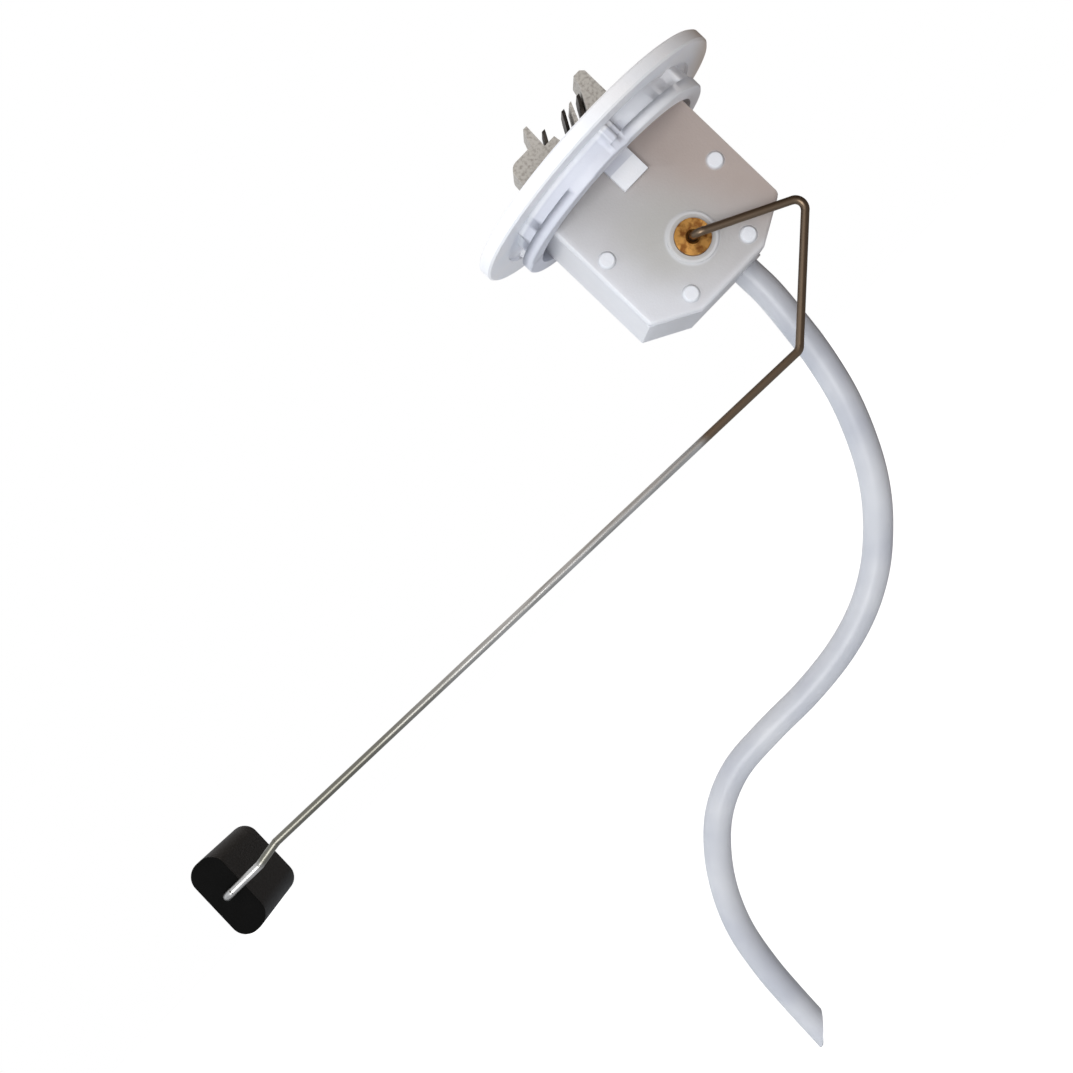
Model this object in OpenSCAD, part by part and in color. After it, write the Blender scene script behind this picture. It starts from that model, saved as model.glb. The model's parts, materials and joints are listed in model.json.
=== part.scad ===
// Fuel level sender: a bayonet flange with a terminal block, a moulded body
// with a wiper and a resistor card inside, a float on a bent wire arm, and a
// pickup hose. The origin is the centre of the flange's sealing face, +Z is up
// out of the tank, and the arm swings about an axis along Y.

/* [Flange] */
// Width of the flange's rim outside the seal groove
rim_w = 7.2; // [6:0.1:12]
// Thickness of the round plate
plate_t = 3.8; // [3:0.1:5]
// Thickness of the skirt, with the depth of its recesses
skirt_t = 4.2; // [3.9:0.1:5.5]
// Height of the skirt below the plate
skirt_h = 6.4; // [5.5:0.1:9]
// Height of the lip round the lower edge of the skirt
lip_h = 3; // [1.5:0.1:3.5]
// Depth of the three bayonet recesses in the skirt
recess_depth = 2.4; // [1.5:0.1:2.8]
// Angle that each bayonet recess spans
recess_span = 47; // [30:1:50]
// Angle from the front to the start of the first recess
recess_start = 5; // [4:1:20]
// Angle that the rib near each recess spans
rib_span = 4.5; // [3:0.5:8]
// Width of the two snap tongues that hold the body
tongue_w = 8; // [6:0.5:12]
// How far the snap tongues reach below the sealing face
tongue_h = 11.8; // [10:0.1:15]
// Thickness of the snap tongues
tongue_t = 1.4; // [1:0.1:2]

/* [Outlet] */
// Outer diameter of the outlet nipple
nipple_d = 6; // [5:0.5:8]
// Bore of the fuel way
fuel_bore = 4; // [3:0.5:4.5]
// Length of the nipple from its elbow to its tip
nipple_len = 30; // [24:1:34]
// Height of the nipple's axis above the plate
nipple_rise = 4.7; // [4.4:0.1:6]

/* [Terminals] */
// Distance between neighbouring blades
blade_pitch = 5.4; // [5:0.1:5.6]
// Width of a blade
blade_w = 8; // [6.3:0.1:8]
// Thickness of a blade
blade_t = 1; // [0.8:0.1:1]
// Height of the blade tips above the sealing face
blade_top = 14.8; // [14:0.1:16]
// Lean of the blades to the right, in degrees
blade_lean = 30; // [0:1:32]
// Width of the terminal block
block_w = 31.7; // [31:0.1:34]
// Depth of the terminal block
block_depth = 10.4; // [10:0.1:11]

/* [Body] */
// Width of the body
body_w = 45.6; // [44:0.2:46]
// Depth of the body over its front cover
body_depth = 28; // [27.6:0.1:29]
// How far the body reaches below the arm's axis
body_reach = 14.2; // [12.5:0.1:18]
// Width of the flat bottom between the two slanted corners
bottom_w = 21.6; // [20:0.2:28]
// Height of the slanted bottom corners
corner_h = 6.6; // [4:0.1:8]
// Wall of the body
wall = 1.6; // [1.2:0.1:2]
// Thickness of the front cover
cover_t = 2; // [1.5:0.1:2.4]
// Diameter of the four stake heads
stake_head_d = 4.6; // [3.6:0.1:5.2]
// Diameter of the four stake pins
stake_pin_d = 2.6; // [2:0.1:3]

/* [Pivot] */
// Distance from the sealing face down to the arm's axis
pivot_drop = 31.4; // [30:0.1:33]
// Diameter of the bush's visible flange
bush_d = 9.2; // [8:0.1:11]
// Diameter of the bush's barrel
barrel_d = 6.4; // [5:0.1:7]
// Diameter of the cover's boss round the bush
boss_d = 12.6; // [12:0.1:14]
// Diameter of the wiper hub
hub_d = 12; // [10:0.5:13]
// Thickness of the wiper hub
hub_t = 4; // [3:0.1:4.2]
// Lowest position of the float arm, in degrees from rest
swing_low = -45; // [-50:1:-30]
// Highest position of the float arm, in degrees from rest
swing_high = 13; // [5:1:15]

/* [Arm] */
// Diameter of the arm's wire
wire_d = 2.1; // [1.8:0.1:2.4]
// Inner radius scale of the wire's bends, along its centre line
bend_r = 2.4; // [2:0.1:2.8]
// Distance from the body's front face to the arm's plane
arm_stand = 4.5; // [4.4:0.1:6]
// Reach of the arm from its axis to the float
arm_reach = 194.3; // [180:0.5:200]

/* [Float] */
// Width of the float
float_w = 9.2; // [9:0.1:12]
// Height of the float
float_h = 21.8; // [16:0.2:24]
// Length of the float along the wire's end
float_len = 38; // [30:0.5:42]
// Radius of the float's four long corners
float_corner = 4.2; // [1.5:0.1:4.4]
// Tilt of the float at rest, in degrees
float_tilt = 2.5; // [-10:0.5:10]

/* [Card] */
// Width of the resistor card
card_w = 30; // [28:0.5:32]
// Thickness of the resistor card
card_t = 1; // [0.8:0.1:1.2]
// Radius of the resistor track's centre line
resistor_r = 17.5; // [17:0.1:18]
// Radius of the collector track's centre line
collector_r = 13.3; // [12.5:0.1:13.6]

/* [Hose] */
// Outer diameter of the pickup hose
hose_d = 8; // [7:0.5:8]
// Depth of the hose's socket in the body
socket_depth = 11.6; // [9:0.1:14]

/* [Hidden] */

// Clearances
snug = 0.1;
running = 0.05;
seat = 0.3;
eps = 0.5;
// A formed bend is a touch thicker than the wire, and the wire laps into it
bend_swell = 0.03;
bend_lap = 0.2;
// Angle left between the hub's lug and a stop at the end of the sweep
stop_slack = 1;
$fn = 48;

// Colours
nylon = [0.93, 0.94, 0.97];
milky = [0.86, 0.86, 0.88];
beige = [0.66, 0.64, 0.57];
dark_metal = [0.20, 0.18, 0.16];
brass = [0.76, 0.55, 0.25];
steel = [0.45, 0.43, 0.41];
spring = [0.72, 0.70, 0.66];
film = [0.13, 0.13, 0.14];
ceramic = [0.90, 0.89, 0.85];

// The body's outline and the levels of its layers, from the front to the back
front_y = -body_depth / 2;
back_y = body_depth / 2;
cover_y = front_y + cover_t;
half_w = body_w / 2;
body_top = -seat;
corner_reach = norm([half_w, back_y]);

// The flange in steps outwards: skirt wall, band, lip, ribs, seal groove and sealing face
skirt_inner_r = corner_reach + seat;
skirt_step = 0.5;
skirt_r = skirt_inner_r + skirt_t;
band_r = skirt_r - skirt_step;
rib_proud = 0.9;
groove_r = skirt_r + rib_proud + 0.6;
groove_depth = 1;
plate_r = groove_r + rim_w;
edge = 0.5;
pattern_turns = 3;
rib_start = -3;
tongue_x = 0.5;
nub_h = 1.6;
nub_depth = 0.8;
nub_rise = 1;

// The arm's axis and the stack of pieces along it
pivot_z = -pivot_drop;
bush_proud = 1.6;
boss_proud = 0.9;
bush_front = front_y - bush_proud;
bush_seat = front_y + 0.2;
card_front = -0.4;
card_back = card_front + card_t;
track_t = 0.2;
track_front = card_front - track_t;
blade_back = track_front - 2.2;
wiper_t = 0.4;
hub_back = blade_back - wiper_t - running;
hub_front = hub_back - hub_t;
washer_t = 0.4;
washer_front = hub_front - running - washer_t;
bush_back = washer_front - running;
clip_t = 0.5;
clip_front = blade_back + running;
clip_r = 3;
shaft_end = clip_front + clip_t + 0.5;
partition_t = wall;
partition_back = card_back + partition_t;

// The wiper stands midway between its limits when the arm is midway
wiper_turn = -(swing_low + swing_high) / 2;
half_sweep = (swing_high - swing_low) / 2;
lug_r = 9.6;
lug_span = 40;
stop_r = 11;
stop_span = 14;

// The fuel way through the body
fuel_x = 8.5;
fuel_y = 7.5;
channel_wall = 1.4;
channel_r = hose_d / 2 + snug + channel_wall;
socket_r = hose_d / 2 + snug;
body_bottom = pivot_z - body_reach;
socket_top = body_bottom + socket_depth;
spigot_r = 3.8;
spigot_end = -8.6;
ring_section = 1.2;
ring_r = 3;
channel_top = -3;
channel_seat = spigot_end - ring_section - 2 * running;
riser_r = 4;
nipple_z = plate_t + nipple_rise;
barb_r = nipple_d / 2 + 0.6;
barb_len = 4;
barb_land = 1.2;
barb_lead = 0.3;

// The terminal block's outline
block_left = -19;
block_right = block_left + block_w;
block_y = -4;
block_base = 11.4;
block_low = 8.6;
collar_wall = 2;
collar_h = 3;
blade_mid_x = -1.3;
terminal_x = [for (i = [-1:1]) blade_mid_x + i * blade_pitch];
lean_clear = 0.1;
lean_from = [block_base + lean_clear, block_low + lean_clear, block_low + lean_clear];
peg_r = 1.4;
peg_h = 2.2;
peg_x = [block_left + 4, block_right - 3];

// The terminals' feet on the card
foot_w = 3.2;
foot_t = 0.5;
foot_top = -1.5;
foot_bottom = -8.5;
eyelet_z = -6.2;
eyelet_r = 0.9;
eyelet_head_r = 1.4;
eyelet_head_t = 0.4;
card_top = -3;
card_bottom = pivot_z + 6.6;
ledge_h = 1.6;

// The printed tracks and the wiper's two fingers over them
track_end = half_sweep + 5;
track_w = 1.6;
track_gap = 0.8;
resistor_w = 3;
warning_span = 8;
warning_gap = 2;
track_foot_z = foot_bottom - seat;
fork_ring_r = 4.4;
fork_r = 8;
finger_w = 1.6;
finger_gap = 0.7;
finger_tip = 1;
finger_x = (finger_w + finger_gap) / 2;

// The four stake pins, set in from the body's sides and bottom
left_stake_in = 4.3;
left_stake_rise = 11.2;
right_stake_in = 5.2;
right_stake_rise = 9.2;
low_stake_in = 0.7;
low_stake_rise = 4.9;
high_stakes = [[-half_w + left_stake_in, pivot_z + left_stake_rise],
    [half_w - right_stake_in, pivot_z + right_stake_rise]];
low_stakes = [[-bottom_w / 2 + low_stake_in, body_bottom + low_stake_rise],
    [bottom_w / 2 - low_stake_in, body_bottom + low_stake_rise]];
high_stake_back = track_front - seat;
stake_web_t = 1.6;
stake_head_t = 0.9;
stake_post_r = stake_pin_d / 2 + 0.7;

// The arm's corners in its own plane, measured from its axis
arm_y = front_y - arm_stand;
crank_out = [25.3, -13.0];
crank_in = [-2.7, -37.8];
kink_a = [-176, -29.3];
kink_b = [-182.7, -30.3];
float_drop = -30;
float_x = -arm_reach;
float_z = pivot_z + float_drop;
wire_r = wire_d / 2;
float_front = arm_y + bend_r + 0.2;
float_back = float_front + float_len;
float_end = float_back + seat + clip_t + 1.2;

// The hose's route, from its socket to its cut end
hose_sides = 12;
hose_route = [[8.5, 7.5, socket_top], [8.5, 7.5, -46], [8.5, 7.5, -54], [7.5, 8, -64], [6, 9, -75],
    [3, 11, -88], [-2, 14, -101], [-7.5, 17, -111], [-14, 21, -119.5], [-22, 24.5, -127],
    [-32, 28, -133], [-44, 31.5, -137], [-58, 35, -139], [-73, 38.5, -139.5], [-87, 42, -141],
    [-98.5, 45, -146], [-107.5, 48, -154], [-115, 51, -164.5], [-120.5, 54, -177],
    [-123.5, 57, -191], [-125, 60, -204], [-126, 62, -217]];
// Normal of the oblique cut at the hose's end
hose_cut = [0.69, 0, -0.72];

// Helpers

function unit(v) = v / norm(v);

// Angles that turn the frame's X and Z axes onto two perpendicular directions
function euler(x_dir, z_dir) = let (y_dir = cross(z_dir, x_dir))
    [atan2(y_dir[2], z_dir[2]), -asin(max(-1, min(1, x_dir[2]))), atan2(x_dir[1], x_dir[0])];

// A rod that runs straight from one point to another
module rod(from, to, r) {
    run = to - from;
    translate(from)
        rotate([0, acos(run[2] / norm(run)), atan2(run[1], run[0])])
            cylinder(r = r, h = norm(run));
}

// One round bend of a wire at a corner between two directions
module elbow(corner, dir_in, dir_out, radius, r) {
    turn = acos(dir_in * dir_out);
    normal = unit(cross(dir_in, dir_out));
    side = cross(normal, dir_in);
    start = corner - dir_in * radius * tan(turn / 2);
    translate(start + side * radius)
        rotate(euler(-side, normal))
            rotate_extrude(angle = turn)
                translate([radius, 0])
                    circle(r = r + bend_swell, $fn = 32);
}

// A wire through a list of corners, with a round bend at each inner corner
module bent_wire(corners, radius, r) {
    last = len(corners) - 1;
    dirs = [for (i = [0:last - 1]) unit(corners[i + 1] - corners[i])];
    cuts = [for (i = [0:last])
        i == 0 || i == last ? 0 : radius * tan(acos(dirs[i - 1] * dirs[i]) / 2) - bend_lap];
    for (i = [0:last - 1])
        rod(corners[i] + dirs[i] * cuts[i], corners[i + 1] - dirs[i] * cuts[i + 1], r);
    for (i = [1:last - 1])
        elbow(corners[i], dirs[i - 1], dirs[i], radius, r);
}

// A flat sector of a ring, angles clockwise from straight up
module ring_sector(inner, outer, from, to) {
    reach = outer * 3;
    middle = (from + to) / 2;
    intersection() {
        difference() {
            circle(r = outer, $fn = 96);
            if (inner > 0)
                circle(r = inner, $fn = 96);
        }
        polygon([[0, 0], [sin(from), cos(from)] * reach, [sin(middle), cos(middle)] * reach,
            [sin(to), cos(to)] * reach]);
    }
}

// A rectangle with round corners
module rounded_rect(w, h, r) {
    square([w - 2 * r, h], center = true);
    square([w, h - 2 * r], center = true);
    for (x = [-1, 1], z = [-1, 1])
        translate([x * (w / 2 - r), z * (h / 2 - r)])
            circle(r = r);
}

// Stands a flat shape in the X-Z plane and gives it a depth along +Y
module slab(y_from, y_to) {
    translate([0, y_to, 0])
        rotate([90, 0, 0])
            linear_extrude(y_to - y_from)
                children();
}

// A disc or tube along Y about the arm's axis
module on_pivot(y_from, y_to, r) {
    translate([0, y_from, pivot_z])
        rotate([-90, 0, 0])
            cylinder(r = r, h = y_to - y_from);
}

// The body's outline seen from the front, set in by a margin
module body_outline(margin, top) {
    slant = norm([half_w - bottom_w / 2, corner_h]);
    corner_in = margin * (slant - (half_w - bottom_w / 2)) / corner_h;
    bottom_in = margin * (slant - corner_h) / (half_w - bottom_w / 2);
    side_x = half_w - margin;
    side_z = body_bottom + corner_h + corner_in;
    flat_x = bottom_w / 2 - bottom_in;
    flat_z = body_bottom + margin;
    polygon([[-side_x, top], [-side_x, side_z], [-flat_x, flat_z], [flat_x, flat_z],
        [side_x, side_z], [side_x, top]]);
}

// Sub-parts

// One snap tongue in front of the body, with the nub that holds it
module snap_tongue() {
    outer = front_y - seat - tongue_t;
    translate([tongue_x - tongue_w / 2, outer, -tongue_h])
        cube([tongue_w, tongue_t, tongue_h + eps]);
    translate([tongue_x - tongue_w / 4, front_y - seat - eps, -tongue_h + nub_rise])
        cube([tongue_w / 2, nub_depth + seat + eps - 2 * snug, nub_h]);
}

// Pocket for the nub of a snap tongue
module snap_pocket() {
    translate([tongue_x - tongue_w / 4 - seat, front_y - eps, -tongue_h + nub_rise - seat])
        cube([tongue_w / 2 + 2 * seat, nub_depth + eps, nub_h + 2 * seat]);
}

module flange_profile() {
    polygon([[0, 0], [0, plate_t], [plate_r - edge, plate_t], [plate_r, plate_t - edge],
        [plate_r, edge], [plate_r - edge, 0], [groove_r, 0], [groove_r, groove_depth],
        [band_r, groove_depth], [band_r, -skirt_h + lip_h],
        [skirt_r, -skirt_h + lip_h], [skirt_r, -skirt_h + edge], [skirt_r - edge, -skirt_h],
        [skirt_inner_r, -skirt_h], [skirt_inner_r, 0]]);
}

// The elbow and the nipple of the fuel outlet
module outlet() {
    tip_y = fuel_y + nipple_len;
    translate([fuel_x, fuel_y, spigot_end])
        cylinder(r = spigot_r, h = -spigot_end + eps);
    translate([fuel_x, fuel_y, plate_t - eps])
        cylinder(r = riser_r, h = nipple_rise + eps);
    translate([fuel_x, fuel_y, nipple_z])
        sphere(r = riser_r);
    translate([fuel_x, fuel_y, nipple_z])
        rotate([-90, 0, 0]) {
            cylinder(r = riser_r, h = riser_r + 2);
            cylinder(r = nipple_d / 2, h = nipple_len - barb_len + eps);
            translate([0, 0, nipple_len - barb_len - barb_land])
                cylinder(r = barb_r, h = barb_land);
            translate([0, 0, nipple_len - barb_len])
                cylinder(r1 = barb_r, r2 = nipple_d / 2 - barb_lead, h = barb_len);
        }
}

module fuel_way() {
    translate([fuel_x, fuel_y, spigot_end - eps])
        cylinder(r = fuel_bore / 2, h = nipple_z - spigot_end + eps);
    translate([fuel_x, fuel_y, nipple_z])
        sphere(r = fuel_bore / 2);
    translate([fuel_x, fuel_y, nipple_z])
        rotate([-90, 0, 0])
            cylinder(r = fuel_bore / 2, h = nipple_len + eps);
}

module flange() {
    collar = [block_w + 2 * (collar_wall + snug), block_depth + 2 * (collar_wall + snug)];
    color(nylon)
    difference() {
        union() {
            rotate_extrude($fn = 160)
                flange_profile();
            for (i = [0:pattern_turns - 1])
                rotate([0, 0, i * 360 / pattern_turns - 90 + rib_start])
                    translate([0, 0, -skirt_h + lip_h])
                        bayonet_rib();
            snap_tongue();
            rotate([0, 0, 180])
                snap_tongue();
            translate([(block_left + block_right) / 2, block_y, plate_t - eps])
                linear_extrude(collar_h + eps)
                    rounded_rect(collar[0], collar[1], collar_wall);
            outlet();
        }
        for (i = [0:pattern_turns - 1])
            rotate([0, 0, i * 360 / pattern_turns - 90 + recess_start])
                bayonet_recess();
        translate([block_left - snug, block_y - block_depth / 2 - snug, plate_t])
            cube([block_w + 2 * snug, block_depth + 2 * snug, collar_h + eps]);
        for (x = terminal_x)
            translate([x - blade_t / 2 - snug, block_y - blade_w / 2 - snug, -eps])
                cube([blade_t + 2 * snug, blade_w + 2 * snug, plate_t + 2 * eps]);
        for (x = peg_x)
            translate([x, block_y, plate_t - peg_h - snug])
                cylinder(r = peg_r + snug, h = peg_h + snug + eps);
        fuel_way();
    }
}

// A raised rib near a bayonet recess, from the lip up to the plate
module bayonet_rib() {
    rotate_extrude(angle = rib_span, $fn = 160)
        translate([skirt_inner_r + eps, -eps])
            square([skirt_r + rib_proud - skirt_inner_r - eps, skirt_h - lip_h + groove_depth + 2 * eps]);
}

// The cut of a bayonet recess, between the plate and the lip
module bayonet_recess() {
    rotate_extrude(angle = recess_span, $fn = 160)
        translate([band_r - recess_depth, -skirt_h + lip_h])
            square([recess_depth + skirt_step + eps, skirt_h - lip_h + groove_depth]);
}

// The block's outline from the front: left shoulder, latch spike, low saddle and right tower
module block_outline() {
    shoulder_r = 2.6;
    shoulder_z = 13.8;
    draft = 0.7;
    spike_left = -10.2;
    spike_right = -7.4;
    spike_tip = 1.2;
    spike_top = 18.1;
    base_end = -4.4;
    base_step = 0.4;
    tower_gap = 0.5;
    tower_top = 18.3;
    tower_flat = 2;
    tower_chamfer = 1;
    lean = tan(blade_lean);
    wall_x = terminal_x[2] + blade_t / 2 + tower_gap;
    fin_x = (terminal_x[1] + terminal_x[2]) / 2;
    fin_t = 1.4;
    fin_top = blade_top - 0.4;
    polygon([[block_left, plate_t], [block_left + draft, shoulder_z - shoulder_r],
        [block_left + draft + shoulder_r, shoulder_z], [spike_left, shoulder_z],
        [spike_right - spike_tip, spike_top], [spike_right, spike_top], [spike_right - base_step, block_base],
        [base_end, block_base], [base_end + base_step, block_low], [wall_x, block_low],
        [wall_x + (blade_top + tower_gap - block_low) * lean, blade_top + tower_gap],
        [block_right - tower_chamfer - tower_flat, tower_top], [block_right - tower_chamfer, tower_top],
        [block_right, tower_top - tower_chamfer], [block_right, plate_t]]);
    translate([block_left + draft + shoulder_r, shoulder_z - shoulder_r])
        circle(r = shoulder_r);
    fin_shift = (fin_top - block_low) * lean;
    polygon([[fin_x - fin_t / 2, block_low - eps], [fin_x - fin_t / 2, block_low],
        [fin_x - fin_t / 2 + fin_shift, fin_top], [fin_x + fin_shift, fin_top],
        [fin_x + fin_t / 2, block_low], [fin_x + fin_t / 2, block_low - eps]]);
}

module terminal_block() {
    color(beige)
    difference() {
        union() {
            slab(block_y - block_depth / 2, block_y + block_depth / 2)
                block_outline();
            for (x = peg_x)
                translate([x, block_y, plate_t - peg_h])
                    cylinder(r = peg_r, h = peg_h + eps);
        }
        for (i = [0:len(terminal_x) - 1])
            translate([terminal_x[i] - blade_t / 2 - snug, block_y - blade_w / 2 - snug, plate_t - eps])
                cube([blade_t + 2 * snug, blade_w + 2 * snug, lean_from[i] - plate_t + 2 * eps]);
    }
}

// A stamped terminal: leaning blade on top, stem through the flange, foot on the card
module terminal(i) {
    x = terminal_x[i];
    shift = (blade_top - lean_from[i]) * tan(blade_lean);
    tip = 1;
    color(dark_metal)
    difference() {
        union() {
            intersection() {
                slab(block_y - blade_w / 2, block_y + blade_w / 2)
                    polygon([[x - blade_t / 2, foot_top - 1], [x + blade_t / 2, foot_top - 1],
                        [x + blade_t / 2, lean_from[i]], [x + blade_t / 2 + shift, blade_top],
                        [x - blade_t / 2 + shift, blade_top], [x - blade_t / 2, lean_from[i]]]);
                translate([x + shift + blade_t, block_y, 0])
                    rotate([0, -90, 0])
                        linear_extrude(shift + 3 * blade_t)
                            polygon([[foot_top - 1, -blade_w / 2], [blade_top - tip, -blade_w / 2],
                                [blade_top, -blade_w / 2 + tip], [blade_top, blade_w / 2 - tip],
                                [blade_top - tip, blade_w / 2], [foot_top - 1, blade_w / 2]]);
            }
            translate([x - blade_t / 2, block_y - blade_w / 2, foot_top - 1])
                cube([blade_t, card_front - (block_y - blade_w / 2), 1]);
            translate([x - blade_t / 2, card_front - foot_t, foot_bottom])
                cube([foot_w, foot_t, foot_top - foot_bottom]);
        }
        translate([x + foot_w / 2, card_front - foot_t - eps, eyelet_z])
            rotate([-90, 0, 0])
                cylinder(r = eyelet_r + snug, h = foot_t + 2 * eps);
    }
}

module warning_terminal() {
    terminal(0);
}

module signal_terminal() {
    terminal(1);
}

module ground_terminal() {
    terminal(2);
}

// The three eyelets, each with its shank through the foot and the card
module card_eyelets() {
    color(brass)
    for (x = terminal_x)
        translate([x + foot_w / 2, 0, eyelet_z])
            rotate([-90, 0, 0])
                difference() {
                    union() {
                        translate([0, 0, card_front - foot_t - eyelet_head_t])
                            cylinder(r = eyelet_head_r, h = eyelet_head_t);
                        translate([0, 0, card_front - foot_t - eps / 2])
                            cylinder(r = eyelet_r, h = foot_t + card_t + eps);
                        translate([0, 0, card_back])
                            cylinder(r = eyelet_head_r, h = eyelet_head_t);
                    }
                    translate([0, 0, card_front - 2])
                        cylinder(r = eyelet_r / 2, h = card_t + 4);
                }
}

module resistor_card() {
    color(ceramic)
    difference() {
        slab(card_front, card_back)
            translate([-card_w / 2, card_bottom])
                square([card_w, card_top - card_bottom]);
        for (x = terminal_x)
            translate([x + foot_w / 2, card_front - eps, eyelet_z])
                rotate([-90, 0, 0])
                    cylinder(r = eyelet_r + snug, h = card_t + 2 * eps);
    }
}

// A track on the card's front face
module track(colour) {
    color(colour)
    slab(track_front, card_front)
        children();
}

// A straight stretch of track between two points, level or upright
module flat_bar(a, b) {
    low = [min(a[0], b[0]), min(a[1], b[1])];
    high = [max(a[0], b[0]), max(a[1], b[1])];
    translate(low - [track_w, track_w] / 2)
        square(high - low + [track_w, track_w]);
}

// A riser that carries a track round the resistor's end and up to a foot
module riser(side, foot_x) {
    outer_x = side * (sin(track_end) * (resistor_r + resistor_w / 2) + track_gap + track_w / 2);
    low_z = pivot_z + collector_r * cos(track_end) - track_w / 2;
    arc_x = side * (sin(track_end) * collector_r - track_w / 2);
    flat_bar([outer_x, low_z], [outer_x, track_foot_z - track_w / 2]);
    flat_bar([outer_x, track_foot_z - track_w / 2], [foot_x, track_foot_z - track_w / 2]);
    flat_bar([arc_x, low_z + track_w / 2], [outer_x, low_z + track_w / 2]);
}

module resistor_track() {
    track(film) {
        translate([0, pivot_z])
            ring_sector(resistor_r - resistor_w / 2, resistor_r + resistor_w / 2, -track_end, track_end);
        translate([terminal_x[1] + foot_w / 2 - track_w / 2, pivot_z + resistor_r])
            square([track_w, track_foot_z - pivot_z - resistor_r]);
    }
}

module collector_track() {
    track(spring) {
        translate([0, pivot_z])
            ring_sector(collector_r - track_w / 2, collector_r + track_w / 2,
                -track_end + warning_span + warning_gap, track_end);
        riser(1, terminal_x[2] + foot_w / 2);
    }
}

module warning_track() {
    track(spring) {
        translate([0, pivot_z])
            ring_sector(collector_r - track_w / 2, collector_r + track_w / 2,
                -track_end, -track_end + warning_span);
        riser(-1, terminal_x[0] + foot_w / 2);
    }
}

// The moulded body with its stake pins, stops, card ledge and fuel channel
module housing() {
    color(milky)
    difference() {
        union() {
            difference() {
                slab(cover_y, back_y)
                    body_outline(0, body_top);
                slab(cover_y - eps, card_back)
                    body_outline(wall, 1);
                slab(partition_back, back_y - wall)
                    body_outline(wall, 1);
                translate([-card_w / 2, card_back - eps, foot_bottom - 1])
                    cube([card_w, partition_t + 2 * eps, -foot_bottom + 2]);
            }
            translate([fuel_x, fuel_y, body_bottom])
                cylinder(r = channel_r, h = channel_top - body_bottom);
            for (side = [-1, 1])
                stop_rib(side);
            card_ledge();
            for (p = high_stakes) {
                translate([p[0], 0, p[1]])
                    stake_post(high_stake_back);
                stake_web(p);
            }
            for (p = low_stakes)
                translate([p[0], 0, p[1]])
                    stake_post(card_back + eps);
        }
        translate([fuel_x, fuel_y, body_bottom - eps])
            cylinder(r = fuel_bore / 2, h = -body_bottom);
        translate([fuel_x, fuel_y, body_bottom - eps])
            cylinder(r = socket_r, h = socket_depth + eps);
        translate([fuel_x, fuel_y, channel_seat])
            cylinder(r = spigot_r + snug, h = -body_bottom);
        rotate([0, 0, 180])
            snap_pocket();
    }
}

// A web that ties a high post to the side wall, in front of the card
module stake_web(p) {
    slab(cover_y, high_stake_back)
        translate([p[0] < 0 ? -half_w + wall / 2 : p[0], p[1] - stake_web_t / 2])
            square([half_w - wall / 2 - abs(p[0]), stake_web_t]);
}

// A post inside the body, its pin through the cover, and the melted head
module stake_post(post_back) {
    rotate([-90, 0, 0]) {
        translate([0, 0, cover_y])
            cylinder(r = stake_post_r, h = post_back - cover_y);
        translate([0, 0, front_y - eps / 2])
            cylinder(r = stake_pin_d / 2, h = cover_t + eps);
        translate([0, 0, front_y - stake_head_t])
            cylinder(r1 = stake_head_d / 2 - 0.6, r2 = stake_head_d / 2, h = stake_head_t);
    }
}

// A rib on the partition that stops the hub's lug at one end of its sweep
module stop_rib(side) {
    near = side * (half_sweep + lug_span / 2 + stop_slack) + 180;
    far = near + side * stop_span;
    slab(hub_back - hub_t / 2, card_back + eps)
        translate([0, pivot_z])
            ring_sector(hub_d / 2 + 1, stop_r, min(near, far), max(near, far));
}

// The ledge under the card
module card_ledge() {
    ledge_w = 5;
    for (side = [-1, 1])
        translate([side * (card_w / 2 - ledge_w / 2) - ledge_w / 2, track_front, card_bottom - ledge_h])
            cube([ledge_w, card_back - track_front + eps, ledge_h]);
}

module front_cover() {
    color(milky)
    difference() {
        union() {
            slab(front_y, cover_y)
                body_outline(0, body_top);
            on_pivot(front_y - boss_proud, front_y + eps, boss_d / 2);
            on_pivot(cover_y - eps, bush_back - 0.3, barrel_d / 2 + wall);
        }
        on_pivot(front_y - boss_proud - eps, bush_seat, bush_d / 2 + snug);
        on_pivot(front_y, bush_back + eps, barrel_d / 2 + running);
        for (p = concat(high_stakes, low_stakes))
            translate([p[0], front_y - eps, p[1]])
                rotate([-90, 0, 0])
                    cylinder(r = stake_pin_d / 2 + snug, h = cover_t + 2 * eps);
        snap_pocket();
    }
}

module bush() {
    mouth = 0.8;
    color(brass)
    difference() {
        union() {
            on_pivot(bush_front, bush_seat, bush_d / 2);
            on_pivot(bush_seat - eps, bush_back, barrel_d / 2);
        }
        on_pivot(bush_front - eps, bush_back + eps, wire_r + running);
        translate([0, bush_front, pivot_z])
            rotate([-90, 0, 0])
                cylinder(r1 = wire_r + mouth, r2 = wire_r + running, h = mouth);
    }
}

// A flat ring on the arm's axis
module pivot_ring(y_from, t, r, bore) {
    difference() {
        on_pivot(y_from, y_from + t, r);
        on_pivot(y_from - eps, y_from + t + eps, bore);
    }
}

module thrust_washer() {
    color(spring)
        pivot_ring(washer_front, washer_t, barrel_d / 2 + 0.8, wire_r + running);
}

module wiper_hub() {
    color(beige)
    difference() {
        union() {
            on_pivot(hub_front, hub_back, hub_d / 2);
            slab(hub_front, hub_back)
                translate([0, pivot_z])
                    ring_sector(0, lug_r, 180 + wiper_turn - lug_span / 2, 180 + wiper_turn + lug_span / 2);
        }
        on_pivot(hub_front - eps, hub_back + eps, wire_r + running);
    }
}

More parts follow.
